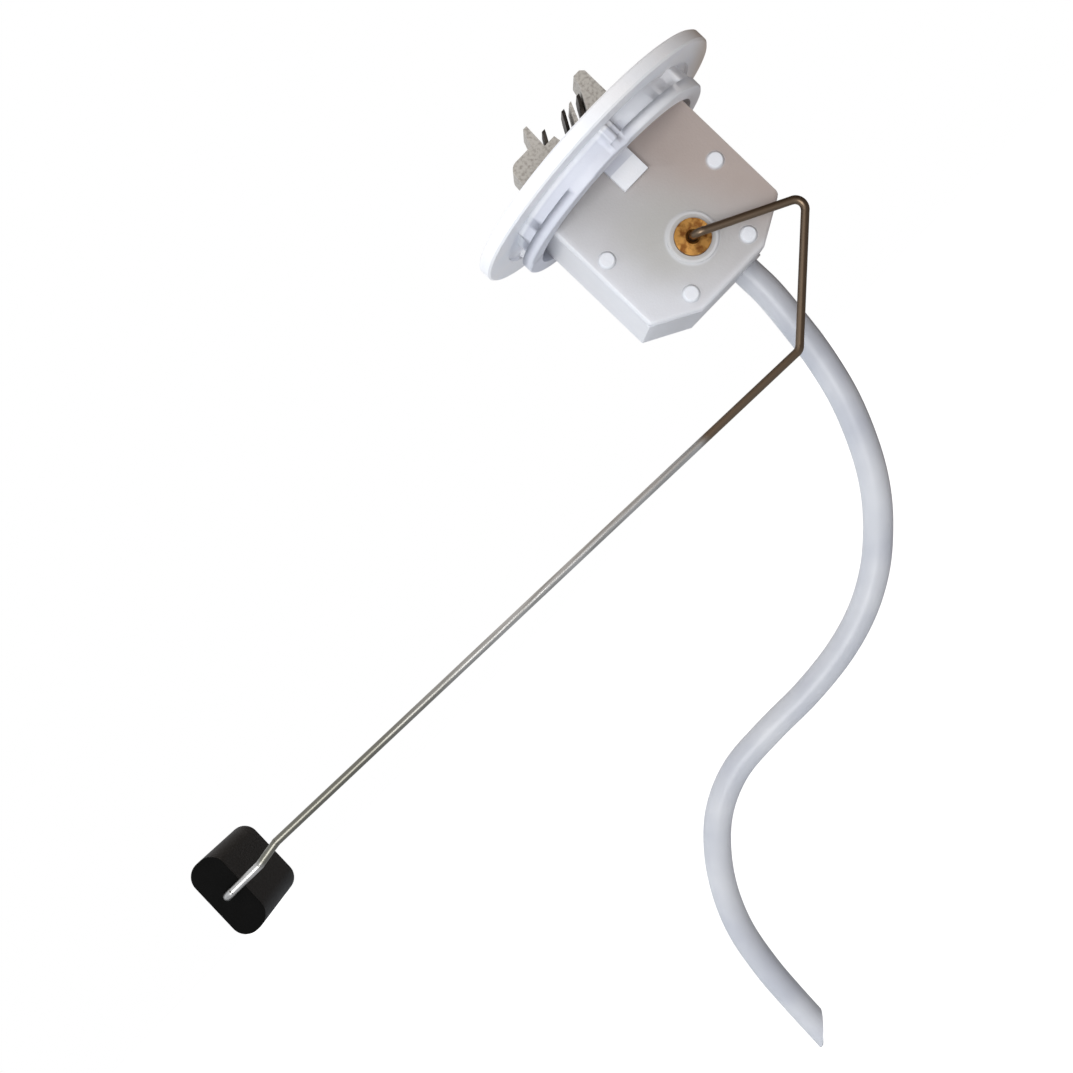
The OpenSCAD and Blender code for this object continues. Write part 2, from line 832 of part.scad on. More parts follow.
// The spring fork: a ring round the shaft and two fingers of unequal length
module wiper_blade() {
    color(spring)
    difference() {
        slab(blade_back - wiper_t, blade_back)
            translate([0, pivot_z])
                rotate([0, 0, -wiper_turn]) {
                    circle(r = fork_ring_r);
                    translate([-finger_w - finger_gap / 2, 0])
                        square([2 * finger_w + finger_gap, fork_r]);
                    translate([-finger_x - finger_w / 2, fork_r - eps])
                        square([finger_w, collector_r + finger_tip - fork_r + eps]);
                    translate([finger_x - finger_w / 2, fork_r - eps])
                        square([finger_w, resistor_r + finger_tip - fork_r + eps]);
                }
        on_pivot(blade_back - wiper_t - eps, blade_back + eps, wire_r + running);
    }
}

// The two contact buttons, from the fork's back to just clear of the tracks
module wiper_contacts() {
    touch = 0.1;
    button_r = 0.7;
    color(brass)
    for (p = [[-finger_x, collector_r], [finger_x, resistor_r]])
        translate([0, 0, pivot_z])
            rotate([0, wiper_turn, 0])
                translate([p[0], blade_back, p[1]])
                    rotate([-90, 0, 0])
                        cylinder(r = button_r, h = track_front - touch - blade_back);
}

module hub_clip() {
    color(spring)
        pivot_ring(clip_front, clip_t, clip_r, wire_r + running);
}

module fuel_o_ring() {
    color([0.08, 0.08, 0.08])
        translate([fuel_x, fuel_y, spigot_end - running - ring_section / 2])
            rotate_extrude()
                translate([ring_r, 0])
                    circle(r = ring_section / 2, $fn = 24);
}

// The arm: shaft through the bush, crank, long run, small kink, and the end through the float
module float_arm() {
    corners = [[0, shaft_end, pivot_z], [0, arm_y, pivot_z],
        [crank_out[0], arm_y, pivot_z + crank_out[1]], [crank_in[0], arm_y, pivot_z + crank_in[1]],
        [kink_a[0], arm_y, pivot_z + kink_a[1]], [kink_b[0], arm_y, pivot_z + kink_b[1]],
        [float_x, arm_y, float_z], [float_x, float_end, float_z]];
    color(steel)
        bent_wire(corners, bend_r, wire_r);
}

module float() {
    color([0.09, 0.09, 0.09])
    translate([float_x, 0, float_z])
        difference() {
            slab(float_front, float_back)
                rotate([0, 0, -float_tilt])
                    rounded_rect(float_w, float_h, float_corner);
            translate([0, float_front - eps, 0])
                rotate([-90, 0, 0])
                    cylinder(r = wire_r + snug, h = float_len + 2 * eps);
        }
}

module float_clip() {
    color(spring)
    translate([float_x, float_back + seat, float_z])
        rotate([-90, 0, 0])
            difference() {
                cylinder(r = clip_r, h = clip_t);
                translate([0, 0, -eps])
                    cylinder(r = wire_r + running, h = clip_t + 2 * eps);
            }
}

// Tangent of the hose's route at one of its points
function tangent(i) = unit(hose_route[min(i + 1, len(hose_route) - 1)] - hose_route[max(i - 1, 0)]);

// A ring of points round the route, the last one laid on the oblique cut
function hose_ring(i) = let (
        t = tangent(i),
        a = unit(cross(t, [0, 1, 0])),
        b = cross(t, a),
        cut = i == len(hose_route) - 1
    )
    [for (s = [0:hose_sides - 1])
        let (
            out = (a * cos(s * 360 / hose_sides) + b * sin(s * 360 / hose_sides)) * hose_d / 2,
            slide = cut ? -(hose_cut * out) / (hose_cut * t) : 0
        )
        hose_route[i] + out + t * slide];

module pickup_hose() {
    rings = len(hose_route);
    points = [for (i = [0:rings - 1]) each hose_ring(i)];
    sides = [for (i = [0:rings - 2], s = [0:hose_sides - 1])
        let (n = (s + 1) % hose_sides)
        [i * hose_sides + s, i * hose_sides + n, (i + 1) * hose_sides + n, (i + 1) * hose_sides + s]];
    start = [[for (s = [hose_sides - 1:-1:0]) s]];
    end = [[for (s = [0:hose_sides - 1]) (rings - 1) * hose_sides + s]];
    color(nylon)
        polyhedron(points, concat(sides, start, end));
}

flange();
terminal_block();
warning_terminal();
signal_terminal();
ground_terminal();
housing();
front_cover();
bush();
thrust_washer();
resistor_card();
resistor_track();
collector_track();
warning_track();
card_eyelets();
fuel_o_ring();
pickup_hose();
float_arm();
wiper_hub();
wiper_blade();
wiper_contacts();
hub_clip();
float();
float_clip();
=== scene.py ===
"""Fuel level sender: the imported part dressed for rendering.

The CAD nodes carry every size and place. This script gives them their
finishes, softens the edges of the pieces that show, and hangs the hose.
Lengths are in metres where nothing else is said.
"""

import json
import logging
import math
from dataclasses import dataclass
from enum import Enum, IntEnum
from typing import Any, Protocol, Sequence, Union

import bpy
from mathutils import Matrix, Vector


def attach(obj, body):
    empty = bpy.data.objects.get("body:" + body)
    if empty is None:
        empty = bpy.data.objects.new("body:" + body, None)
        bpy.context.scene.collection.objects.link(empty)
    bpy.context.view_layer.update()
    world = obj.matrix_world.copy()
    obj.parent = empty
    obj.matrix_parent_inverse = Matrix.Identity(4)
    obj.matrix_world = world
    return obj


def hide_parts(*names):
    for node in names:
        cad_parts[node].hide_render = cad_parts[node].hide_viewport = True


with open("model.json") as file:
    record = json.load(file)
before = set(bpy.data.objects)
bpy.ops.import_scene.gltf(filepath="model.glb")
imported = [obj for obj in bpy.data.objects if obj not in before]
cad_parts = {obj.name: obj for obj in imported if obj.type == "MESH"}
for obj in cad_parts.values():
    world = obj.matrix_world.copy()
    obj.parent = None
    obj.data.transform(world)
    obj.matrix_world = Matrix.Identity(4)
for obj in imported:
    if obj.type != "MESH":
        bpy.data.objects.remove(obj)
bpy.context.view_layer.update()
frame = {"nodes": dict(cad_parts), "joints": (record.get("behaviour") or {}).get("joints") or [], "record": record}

log = logging.getLogger("fuel_level_sender")
Colour = tuple[float, float, float, float]
Span = tuple[float, float]
Place = tuple[float, float, float]
Value = Union["Signal", bpy.types.NodeSocket, float, tuple[float, ...]]
MM = 0.001
WHITE: Colour = (1.0, 1.0, 1.0, 1.0)
SWING = next(joint for joint in frame["joints"] if joint["name"] == "arm_swing")


class Body(Enum):
    """The rigid bodies that a piece can move with."""

    BODY = "body"
    ARM = "arm"
    FLOAT = "float"


class Slot(Enum):
    """The record's material slots."""

    WHITE_NYLON = "white_nylon"
    MILKY_NYLON = "milky_nylon"
    TERMINAL_PLASTIC = "terminal_plastic"
    TERMINAL_METAL = "terminal_metal"
    BUSH_BRASS = "bush_brass"
    SPRING_METAL = "spring_metal"
    CARD_BOARD = "card_board"
    TRACK_FILM = "track_film"
    TRACK_SILVER = "track_silver"
    SEAL_RUBBER = "seal_rubber"
    HOSE_NYLON = "hose_nylon"
    ARM_WIRE = "arm_wire"
    FLOAT_FOAM = "float_foam"


class Axis(IntEnum):
    """The object's own axes."""

    X = 0
    Y = 1
    Z = 2


# The arm's axis, along X and Z
PIVOT: Span = (SWING["pos_m"][Axis.X], SWING["pos_m"][Axis.Z])


@dataclass(frozen=True)
class Waves:
    """A soft noise.

    Attributes:
        scale: Waves per metre of its coarsest layer.
        detail: How many finer layers it has.
    """

    scale: float
    detail: float = 4.0


@dataclass(frozen=True)
class Bleed:
    """How light spreads inside a translucent plastic.

    Attributes:
        weight: The share of the light that goes in.
        reach: How far red, green and blue light spread.
    """

    weight: float
    reach: Place

    def sockets(self) -> dict[str, Value]:
        """Returns the shader's sockets for it."""
        return {"Subsurface Weight": self.weight, "Subsurface Radius": self.reach, "Subsurface Scale": 1.0}


class Signal:
    """A number that varies over a surface, with arithmetic that adds Math nodes."""

    def __init__(self, graph: "Graph", socket: bpy.types.NodeSocket) -> None:
        """Wraps one output socket of a graph.

        Args:
            graph: The graph that the socket belongs to.
            socket: The output socket.
        """
        self.graph = graph
        self.socket = socket

    def _join(self, operation: str, first: Value, second: Value) -> "Signal":
        """Returns the result of one Math node on two values."""
        node = self.graph.add("ShaderNodeMath", {"operation": operation}, {0: first, 1: second})
        return Signal(self.graph, node.outputs[0])

    def __add__(self, other: Value) -> "Signal":
        """Returns self + other."""
        return self._join("ADD", self, other)

    def __radd__(self, other: Value) -> "Signal":
        """Returns other + self."""
        return self._join("ADD", other, self)

    def __sub__(self, other: Value) -> "Signal":
        """Returns self - other."""
        return self._join("SUBTRACT", self, other)

    def __rsub__(self, other: Value) -> "Signal":
        """Returns other - self."""
        return self._join("SUBTRACT", other, self)

    def __mul__(self, other: Value) -> "Signal":
        """Returns self * other."""
        return self._join("MULTIPLY", self, other)

    def __rmul__(self, other: Value) -> "Signal":
        """Returns other * self."""
        return self._join("MULTIPLY", other, self)

    def band(self, low: float, high: float) -> "Signal":
        """Returns 0 below low, 1 above high, and a smooth step between them."""
        node = self.graph.add(
            "ShaderNodeMapRange",
            {"interpolation_type": "SMOOTHSTEP"},
            {"Value": self, "From Min": low, "From Max": high},
        )
        return Signal(self.graph, node.outputs["Result"])


class Graph:
    """A node tree that is built from expressions."""

    def __init__(self, tree: bpy.types.NodeTree, coordinates: str) -> None:
        """Empties the tree and starts it with its coordinates.

        Args:
            tree: The node tree.
            coordinates: The output of the Texture Coordinate node that it reads.
        """
        self.tree = tree
        self.tree.nodes.clear()
        self.place = self.add("ShaderNodeTexCoord").outputs[coordinates]

    def add(self, kind: str, settings: dict[str, Any] | None = None,
            values: dict[str | int, Value] | None = None) -> bpy.types.Node:
        """Adds one node, sets its settings and then its sockets.

        Args:
            kind: The node's type.
            settings: Attributes of the node.
            values: Numbers, colours, sockets or signals by socket name, identifier or number.

        Returns:
            The new node.
        """
        node = self.tree.nodes.new(kind)
        for key, value in (settings or {}).items():
            setattr(node, key, value)
        for key, value in (values or {}).items():
            socket = node.inputs[key] if isinstance(key, int) else self._input(node, key)
            if isinstance(value, Signal):
                value = value.socket
            if isinstance(value, bpy.types.NodeSocket):
                self.tree.links.new(value, socket)
            else:
                socket.default_value = value
        return node

    @staticmethod
    def _input(node: bpy.types.Node, key: str) -> bpy.types.NodeSocket:
        """Returns the input with that identifier, or else with that name."""
        for socket in node.inputs:
            if socket.identifier == key:
                return socket
        return node.inputs[key]

    def axis(self, axis: Axis) -> Signal:
        """Returns one of the object's own coordinates."""
        node = self.add("ShaderNodeSeparateXYZ", None, {0: self.place})
        return Signal(self, node.outputs[axis])

    def stretched(self, scale: Place) -> bpy.types.NodeSocket:
        """Returns the object's coordinates, scaled along each axis."""
        return self.add("ShaderNodeMapping", None, {"Vector": self.place, "Scale": scale}).outputs[0]

    def noise(self, waves: Waves, place: bpy.types.NodeSocket | None = None) -> Signal:
        """Returns a soft noise.

        Args:
            waves: The noise's scale and detail.
            place: The coordinates that it reads, the object's own if left out.
        """
        values = {"Vector": place or self.place, "Scale": waves.scale, "Detail": waves.detail}
        return Signal(self, self.add("ShaderNodeTexNoise", None, values).outputs["Fac"])

    def blend(self, low: Value, high: Value, factor: Value) -> bpy.types.NodeSocket:
        """Returns a colour between two colours."""
        values = {"Factor_Float": factor, "A_Color": low, "B_Color": high}
        node = self.add("ShaderNodeMix", {"data_type": "RGBA"}, values)
        return next(socket for socket in node.outputs if socket.identifier == "Result_Color")

    def distance(self, centre: Span) -> Signal:
        """Returns the distance from a line along Y that stands at a place on X and Z."""
        across, up = centre
        only_xz = (1.0, 0.0, 1.0)
        flat = self.add("ShaderNodeVectorMath", {"operation": "MULTIPLY"}, {0: self.place, 1: only_xz})
        values = {0: flat.outputs[0], 1: (across, 0.0, up)}
        node = self.add("ShaderNodeVectorMath", {"operation": "DISTANCE"}, values)
        return Signal(self, node.outputs["Value"])

    def bump(self, height: Value, depth: float) -> bpy.types.NodeSocket:
        """Returns a normal bent by a height from 0 to 1 of a given depth."""
        return self.add("ShaderNodeBump", None, {"Height": height, "Distance": depth}).outputs[0]


class Coat(Graph):
    """The node tree of one material."""

    def __init__(self, name: str) -> None:
        """Starts an empty material.

        Args:
            name: The material's name.
        """
        self.material = bpy.data.materials.new(name)
        self.material.use_nodes = True
        super().__init__(self.material.node_tree, "Object")

    def shade(self, values: dict[str | int, Value]) -> bpy.types.Material:
        """Closes the graph with one Principled shader.

        Args:
            values: The shader's sockets.

        Returns:
            The finished material.
        """
        shader = self.add("ShaderNodeBsdfPrincipled", None, values)
        self.add("ShaderNodeOutputMaterial", None, {"Surface": shader.outputs[0]})
        return self.material


class Finish(Protocol):
    """Anything that builds a material."""

    def build(self) -> bpy.types.Material:
        """Returns the finished material."""


@dataclass(frozen=True)
class MouldedNylon:
    """White semi-gloss nylon with faint flow marks, painted shade on the skirt under the plate and a painted warm
    shade on the right end.

    Attributes:
        painted_skirt_shade: The colour of the shade under the plate, painted on the skirt.
        skirt: The levels of the skirt's lower and upper edge.
        skirt_fades: How softly the painted shade starts at the lower and at the upper edge.
        painted_skirt_shade_until: Where the painted shade begins to go and has gone, along X.
        painted_warm_shade_from: Where the painted warm shade on the right end begins and is full, along X.
        rough: The lowest roughness, to which a noise adds up to rough_more.
        depth: The depth of the grain and the dimples.
    """

    name: str = "white_nylon"
    cool: Colour = (0.92, 0.945, 0.99, 1.0)
    warm: Colour = (0.96, 0.96, 0.98, 1.0)
    painted_skirt_shade: Colour = (0.67, 0.69, 0.76, 1.0)
    painted_warm_shade: Colour = (0.72, 0.63, 0.55, 1.0)
    skirt: Span = (-0.0066, -0.0004)
    skirt_fades: Span = (0.0004, 0.0008)
    painted_skirt_shade_until: Span = (0.0, 0.008)
    painted_warm_shade_from: Span = (0.030, 0.040)
    flow: Waves = Waves(55.0, 3.0)
    flow_edges: Span = (0.35, 0.65)
    grain: Waves = Waves(1800.0, 2.0)
    dimples: Waves = Waves(320.0)
    dimple_share: float = 0.8
    depth: float = 0.00003
    rough: float = 0.34
    rough_more: float = 0.12
    rough_waves: Waves = Waves(260.0, 3.0)
    bleed: Bleed = Bleed(0.12, (0.0012, 0.0012, 0.0012))

    def build(self) -> bpy.types.Material:
        """Returns the finished material."""
        graph = Coat(self.name)
        base = graph.blend(self.cool, self.warm, graph.noise(self.flow).band(*self.flow_edges))
        # Painted shade under the plate, on the skirt's left part
        base = graph.blend(base, self.painted_skirt_shade, self._painted_skirt_shade_mask(graph))
        # Painted warm shade on the right end
        base = graph.blend(base, self.painted_warm_shade, graph.axis(Axis.X).band(*self.painted_warm_shade_from))
        grain = graph.noise(self.grain) + self.dimple_share * graph.noise(self.dimples)
        return graph.shade({
            "Base Color": base,
            "Roughness": self.rough + self.rough_more * graph.noise(self.rough_waves),
            "Normal": graph.bump(grain, self.depth),
            **self.bleed.sockets(),
        })

    def _painted_skirt_shade_mask(self, graph: Coat) -> Signal:
        """Returns where the shade under the plate is painted on the skirt."""
        low, high = self.skirt
        low_fade, high_fade = self.skirt_fades
        height = graph.axis(Axis.Z)
        skirt = height.band(low - low_fade, low) * (1.0 - height.band(high - high_fade, high))
        return skirt * (1.0 - graph.axis(Axis.X).band(*self.painted_skirt_shade_until))


@dataclass(frozen=True)
class MilkyNylon:
    """Translucent natural nylon with painted light: pale and cool at the lower left, warm and darker at the upper
    right, a painted shadow over the mechanism and painted highlights.

    Attributes:
        pale: The painted lit colour at the lower left.
        middle: The colour between.
        warm: The painted warm shade at the upper right.
        shadow: The colour of the painted shadow over the mechanism.
        bright: The colour of the painted highlights.
        rise: How much a step up counts beside a step to the right on the way from pale to warm.
        offset: What is added to that way.
        wander: How far the clouds shift that way.
        pale_until: Where pale begins to go and is middle, on that way.
        warm_from: Where warm begins and is full, on that way.
        mechanism: The middle of the mechanism along X and Z.
        shadow_until: The distances from it where its shadow begins to go and has gone.
        shadow_least: The shadow's strength, to which the clouds add up to shadow_more.
        pivot: The boss's middle along X and Z.
        boss: The boss's inner and outer radius.
        boss_fades: How softly the boss starts inside and ends outside.
        heads: The stake heads' middles along X and Z.
        head_edge: The distances from them where their brightness begins to go and has gone.
        edges: The levels of the body's left and bottom edge.
        edge_width: How wide the painted highlight along these edges is.
    """

    name: str = "milky_nylon"
    pale: Colour = (0.70, 0.71, 0.745, 1.0)
    middle: Colour = (0.51, 0.50, 0.50, 1.0)
    warm: Colour = (0.45, 0.385, 0.355, 1.0)
    shadow: Colour = (0.45, 0.445, 0.415, 1.0)
    bright: Colour = (0.84, 0.86, 0.91, 1.0)
    rise: float = 0.5
    offset: float = 0.014
    wander: float = 0.010
    clouds: Waves = Waves(70.0, 3.0)
    pale_until: Span = (-0.022, 0.006)
    warm_from: Span = (0.004, 0.024)
    mechanism: Span = (-0.004, -0.0274)
    shadow_until: Span = (0.004, 0.017)
    shadow_least: float = 0.35
    shadow_more: float = 0.4
    pivot: Span = PIVOT
    boss: Span = (0.0058, 0.0065)
    boss_fades: Span = (0.0004, 0.0009)
    boss_share: float = 0.4
    heads: tuple[Span, ...] = ((-0.0185, -0.0202), (0.0176, -0.0222), (-0.0101, -0.0407), (0.0101, -0.0407))
    head_edge: Span = (0.00154, 0.00286)
    edges: Span = (-0.0222, -0.0450)
    edge_width: float = 0.0022
    edge_share: float = 0.35
    grain: Waves = Waves(1500.0, 2.0)
    dimples: Waves = Waves(210.0)
    depth: float = 0.00004
    rough: float = 0.30
    rough_more: float = 0.16
    rough_waves: Waves = Waves(180.0, 3.0)
    bleed: Bleed = Bleed(0.3, (0.0030, 0.0028, 0.0027))

    def build(self) -> bpy.types.Material:
        """Returns the finished material."""
        graph = Coat(self.name)
        cloud = graph.noise(self.clouds)
        # Painted light: lit pale at the lower left, shaded warm and darker at the upper right
        way = graph.axis(Axis.X) + self.rise * graph.axis(Axis.Z) + self.offset + self.wander * cloud
        base = graph.blend(self.pale, self.middle, way.band(*self.pale_until))
        base = graph.blend(base, self.warm, way.band(*self.warm_from))
        # Painted shadow over the mechanism
        painted_shadow_mask = 1.0 - graph.distance(self.mechanism).band(*self.shadow_until)
        base = graph.blend(base, self.shadow, painted_shadow_mask * (self.shadow_least + self.shadow_more * cloud))
        return graph.shade({
            # Painted highlights on the boss, the stake heads and the left and bottom edges
            "Base Color": graph.blend(base, self.bright, self._painted_highlights(graph)),
            "Roughness": self.rough + self.rough_more * graph.noise(self.rough_waves),
            "Normal": graph.bump(graph.noise(self.grain) + graph.noise(self.dimples), self.depth),
            **self.bleed.sockets(),
        })

    def _painted_highlights(self, graph: Coat) -> Signal:
        """Returns where highlights are painted: a ring on the boss, the stake heads and the left and bottom edges.
        """
        reach = graph.distance(self.pivot)
        inner, outer = self.boss
        inner_fade, outer_fade = self.boss_fades
        boss = reach.band(inner - inner_fade, inner) * (1.0 - reach.band(outer, outer + outer_fade))
        painted_highlight = self.boss_share * boss
        for head in self.heads:
            painted_highlight = painted_highlight + (1.0 - graph.distance(head).band(*self.head_edge))
        for axis, edge in zip((Axis.X, Axis.Z), self.edges):
            painted_highlight = painted_highlight + self.edge_share * (1.0 - graph.axis(axis).band(edge, edge + self.edge_width))
        return painted_highlight.band(0.0, 1.0)


@dataclass(frozen=True)
class SpeckledMoulding:
    """Grey-beige filled plastic with fine speckles."""

    name: str = "terminal_plastic"
    dark: Colour = (0.29, 0.265, 0.235, 1.0)
    light: Colour = (0.46, 0.435, 0.395, 1.0)
    specks: Waves = Waves(1300.0, 5.0)
    speck_edges: Span = (0.3, 0.58)
    depth: float = 0.00006
    rough: float = 0.5
    rough_more: float = 0.2

    def build(self) -> bpy.types.Material:
        """Returns the finished material."""
        graph = Coat(self.name)
        speck = graph.noise(self.specks)
        return graph.shade({
            "Base Color": graph.blend(self.dark, self.light, speck.band(*self.speck_edges)),
            "Roughness": self.rough + self.rough_more * speck,
            "Normal": graph.bump(speck, self.depth),
        })


@dataclass(frozen=True)
class WornMetal:
    """Metal in two tones, with fine scratches along one direction.

    Attributes:
        stretch: Waves per metre of the scratches along each axis.
    """

    name: str
    low: Colour
    high: Colour
    rough: float
    rough_more: float = 0.15
    stretch: Place = (900.0, 900.0, 900.0)
    scratches: Waves = Waves(1.0)
    depth: float = 0.00002
    patches: Waves = Waves(240.0, 3.0)
    patch_edges: Span = (0.35, 0.7)

    def build(self) -> bpy.types.Material:
        """Returns the finished material."""
        graph = Coat(self.name)
        scratch = graph.noise(self.scratches, graph.stretched(self.stretch))
        return graph.shade({
            "Base Color": graph.blend(self.low, self.high, graph.noise(self.patches).band(*self.patch_edges)),
            "Metallic": 1.0,
            "Roughness": self.rough + self.rough_more * scratch,
            "Normal": graph.bump(scratch, self.depth),
        })


@dataclass(frozen=True)
class DrawnWire:
    """Steel wire: dark brown by the pivot, bright along the long run, darker before the float, with a painted
    glint on its end in front of the float.

    Attributes:
        dark_brown: The colour of the crank beside the body.
        bright: The colour of the long run, and of the painted glint on the end in front of the float.
        dull: The colour of the darker stretch before the float and of the streaks.
        dark_brown_until: Where the dark brown begins to go and has gone, along X.
        darker_from: Where the darker stretch begins and is full, along X.
        painted_glint_from: Where the painted glint on the end begins and is full, along X.
        wander: How far a noise shifts these places.
        stretch: Waves per metre of the drawing streaks along each axis.
    """

    name: str = "arm_wire"
    dark_brown: Colour = (0.165, 0.120, 0.082, 1.0)
    bright: Colour = (0.46, 0.455, 0.445, 1.0)
    dull: Colour = (0.17, 0.165, 0.14, 1.0)
    dark_brown_until: Span = (-0.031, -0.036)
    darker_from: Span = (-0.090, -0.150)
    painted_glint_from: Span = (-0.1795, -0.1825)
    wander: float = 0.003
    wander_waves: Waves = Waves(240.0, 2.0)
    stretch: Place = (60.0, 1800.0, 1800.0)
    streaks: Waves = Waves(1.0)
    streak_edges: Span = (0.42, 0.7)
    streak_share: float = 0.5
    metallic: float = 0.92
    depth: float = 0.000004
    rough: float = 0.24
    rough_more: float = 0.16

    def build(self) -> bpy.types.Material:
        """Returns the finished material."""
        graph = Coat(self.name)
        place = graph.axis(Axis.X) + self.wander * graph.noise(self.wander_waves)
        streak = graph.noise(self.streaks, graph.stretched(self.stretch))
        run = graph.blend(self.bright, self.dull, streak.band(*self.streak_edges) * self.streak_share)
        base = graph.blend(self.dark_brown, run, self._past(place, self.dark_brown_until))
        base = graph.blend(base, self.dull, self._past(place, self.darker_from))
        return graph.shade({
            # The end in front of the float gets a painted glint
            "Base Color": graph.blend(base, self.bright, self._past(place, self.painted_glint_from)),
            "Metallic": self.metallic,
            "Roughness": self.rough + self.rough_more * streak,
            "Normal": graph.bump(streak, self.depth),
        })

    @staticmethod
    def _past(place: Signal, span: Span) -> Signal:
        """Returns 0 on the pivot's side of a span and 1 on the float's side."""
        begins, full = span
        return 1.0 - place.band(full, begins)


@dataclass(frozen=True)
class TurnedBrass:
    """Dark golden brass with fine turning rings about the arm's axis.

    Attributes:
        pivot: The place of the axis along X and Z.
        ring_rate: How fast the rings' sine runs, in radians per metre.
    """

    name: str = "bush_brass"
    low: Colour = (0.23, 0.085, 0.018, 1.0)
    high: Colour = (0.58, 0.30, 0.080, 1.0)
    pivot: Span = PIVOT
    ring_rate: float = 30000.0
    stains: Waves = Waves(520.0)
    stain_edges: Span = (0.35, 0.62)
    metallic: float = 0.85
    depth: float = 0.00001
    rough: float = 0.32
    rough_more: float = 0.2
    rough_waves: Waves = Waves(700.0)

    def build(self) -> bpy.types.Material:
        """Returns the finished material."""
        graph = Coat(self.name)
        turn = graph.distance(self.pivot) * self.ring_rate
        rings = graph.add("ShaderNodeMath", {"operation": "SINE"}, {0: turn})
        return graph.shade({
            "Base Color": graph.blend(self.low, self.high, graph.noise(self.stains).band(*self.stain_edges)),
            "Metallic": self.metallic,
            "Roughness": self.rough + self.rough_more * graph.noise(self.rough_waves),
            "Normal": graph.bump(rings.outputs[0], self.depth),
        })


@dataclass(frozen=True)
class ClosedFoam:
    """Black closed-cell foam rubber with fine pits; its two ends get painted shade and a higher roughness than its
    four sides.

    Attributes:
        ends: The levels of the two ends along Y, which get the painted shade.
        sides_from: How far from an end the sides begin and are full.
        sides_gloss: How much less rough the sides are than an end.
    """

    name: str = "float_foam"
    # The colour of the painted shade on the two ends
    painted_end_shade: Colour = (0.0010, 0.0010, 0.0008, 1.0)
    dark: Colour = (0.0035, 0.0035, 0.0031, 1.0)
    light: Colour = (0.0095, 0.0094, 0.0088, 1.0)
    ends: Span = (-0.0159, 0.0221)
    sides_from: Span = (0.0002, 0.0007)
    pits: Waves = Waves(1400.0)
    clouds: Waves = Waves(160.0)
    cloud_edges: Span = (0.35, 0.7)
    depth: float = 0.00006
    rough: float = 0.80
    rough_more: float = 0.15
    sides_gloss: float = 0.28
    specular: float = 0.14

    def build(self) -> bpy.types.Material:
        """Returns the finished material."""
        graph = Coat(self.name)
        sides_mask = self._sides_mask(graph)
        pits = graph.add("ShaderNodeTexVoronoi", None, {"Vector": graph.place, "Scale": self.pits.scale})
        cloud = graph.noise(self.clouds)
        outside = graph.blend(self.dark, self.light, cloud.band(*self.cloud_edges))
        return graph.shade({
            # The two ends get painted shade
            "Base Color": graph.blend(self.painted_end_shade, outside, sides_mask),
            "Roughness": self.rough - self.sides_gloss * sides_mask + self.rough_more * cloud,
            "Specular IOR Level": self.specular,
            "Normal": graph.bump(Signal(graph, pits.outputs["Distance"]) + cloud, self.depth),
        })

    def _sides_mask(self, graph: Coat) -> Signal:
        """Returns 1 on the four sides and 0 on the two ends, which get painted shade."""
        front, back = self.ends
        begins, full = self.sides_from
        along = graph.axis(Axis.Y)
        return along.band(front + begins, front + full) * (1.0 - along.band(back - full, back - begins))


@dataclass(frozen=True)
class ExtrudedHose:
    """Satin white hose nylon with a fine grain and slow tone changes."""

    name: str = "hose_nylon"
    cool: Colour = (0.47, 0.49, 0.545, 1.0)
    pale: Colour = (0.60, 0.615, 0.65, 1.0)
    tones: Waves = Waves(38.0, 3.0)
    tone_edges: Span = (0.3, 0.7)
    grain: Waves = Waves(900.0, 3.0)
    depth: float = 0.00003
    rough: float = 0.28
    rough_more: float = 0.14
    bleed: Bleed = Bleed(0.3, (0.003, 0.003, 0.0032))

    def build(self) -> bpy.types.Material:
        """Returns the finished material."""
        graph = Coat(self.name)
        grain = graph.noise(self.grain)
        return graph.shade({
            "Base Color": graph.blend(self.cool, self.pale, graph.noise(self.tones).band(*self.tone_edges)),
            "Roughness": self.rough + self.rough_more * grain,
            "Normal": graph.bump(grain, self.depth),
            **self.bleed.sockets(),
        })


@dataclass(frozen=True)
class PlainCoat:
    """A two-tone finish with fine grain, for card, film and rubber."""

    name: str
    low: Colour
    high: Colour
    rough: float = 0.6
    rough_more: float = 0.1
    grain: Waves = Waves(800.0)
    depth: float = 0.00002

    def build(self) -> bpy.types.Material:
        """Returns the finished material."""
        graph = Coat(self.name)
        grain = graph.noise(self.grain)
        return graph.shade({
            "Base Color": graph.blend(self.low, self.high, grain),
            "Roughness": self.rough + self.rough_more * grain,
            "Normal": graph.bump(grain, self.depth),
        })


def clear_selection() -> None:
    """Deselects every object and leaves edit mode."""
    if bpy.context.mode != "OBJECT":
        bpy.ops.object.mode_set(mode="OBJECT")
    bpy.ops.object.select_all(action="DESELECT")


def pick(piece: bpy.types.Object) -> None:
    """Makes one object the only selected and the active one."""
    clear_selection()
    piece.select_set(True)
    bpy.context.view_layer.objects.active = piece


def apply_modifiers(piece: bpy.types.Object) -> None:
    """Applies every modifier of a piece in order."""
    pick(piece)
    for name in [modifier.name for modifier in piece.modifiers]:
        bpy.ops.object.modifier_apply(modifier=name)


def settle(piece: bpy.types.Object) -> None:
    """Puts a piece's place, turn and scale into its mesh."""
    pick(piece)
    bpy.ops.object.transform_apply(location=True, rotation=True, scale=True)


def smooth(piece: bpy.types.Object, degrees: float) -> None:
    """Shades a piece smooth, with edges kept sharp above an angle."""
    pick(piece)
    bpy.ops.object.shade_smooth_by_angle(angle=math.radians(degrees))


def dress(piece: bpy.types.Object, material: bpy.types.Material) -> None:
    """Gives a piece one material all over."""
    if not piece.material_slots:
        piece.data.materials.append(material)
    for slot in piece.material_slots:
        slot.material = material


